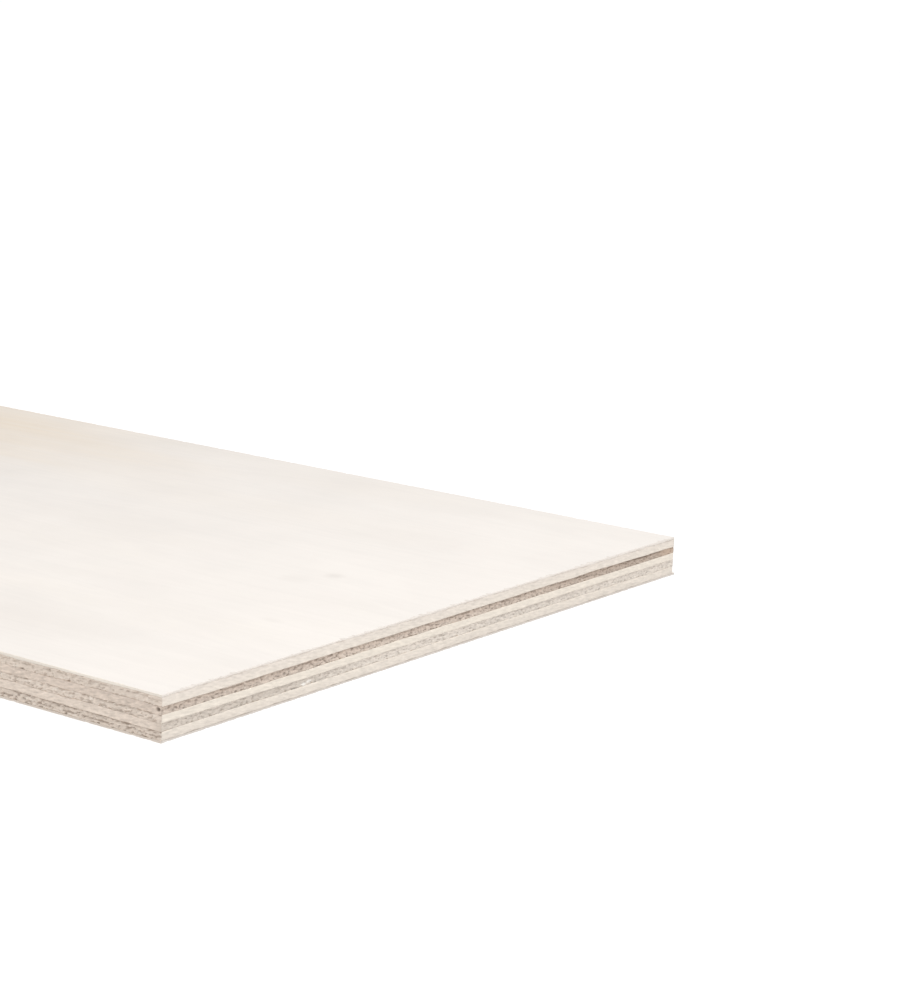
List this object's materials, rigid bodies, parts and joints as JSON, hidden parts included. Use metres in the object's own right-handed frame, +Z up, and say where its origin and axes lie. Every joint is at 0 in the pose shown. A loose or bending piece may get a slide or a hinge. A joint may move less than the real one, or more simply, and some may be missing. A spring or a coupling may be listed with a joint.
{
  "type": "plywood sheet",
  "caption": "Flat rectangular plywood sheet of cross-laid glued veneers with a pale sanded face and plain sawn edges, stock for shelves, boxes, furniture and panelling.",
  "frame": {"origin": "middle of the underside, on the level floor that the sheet lies on", "axes": "+X along the sheet's length and its face grain, +Y across the sheet, +Z up through the good face"},
  "size_m": [0.61, 0.305, 0.0159],
  "materials": {
    "face_wood": "matte",
    "crossband_wood": "matte",
    "upper_core_wood": "matte",
    "lower_core_wood": "matte",
    "back_wood": "matte"
  },
  "bodies": {
    "root": {"face_veneer": "face_wood", "upper_crossband": "crossband_wood", "upper_core_ply": "upper_core_wood", "centre_crossband": "crossband_wood", "lower_core_ply": "lower_core_wood", "lower_crossband": "crossband_wood", "back_veneer": "back_wood"}
  },
  "joints": []
}
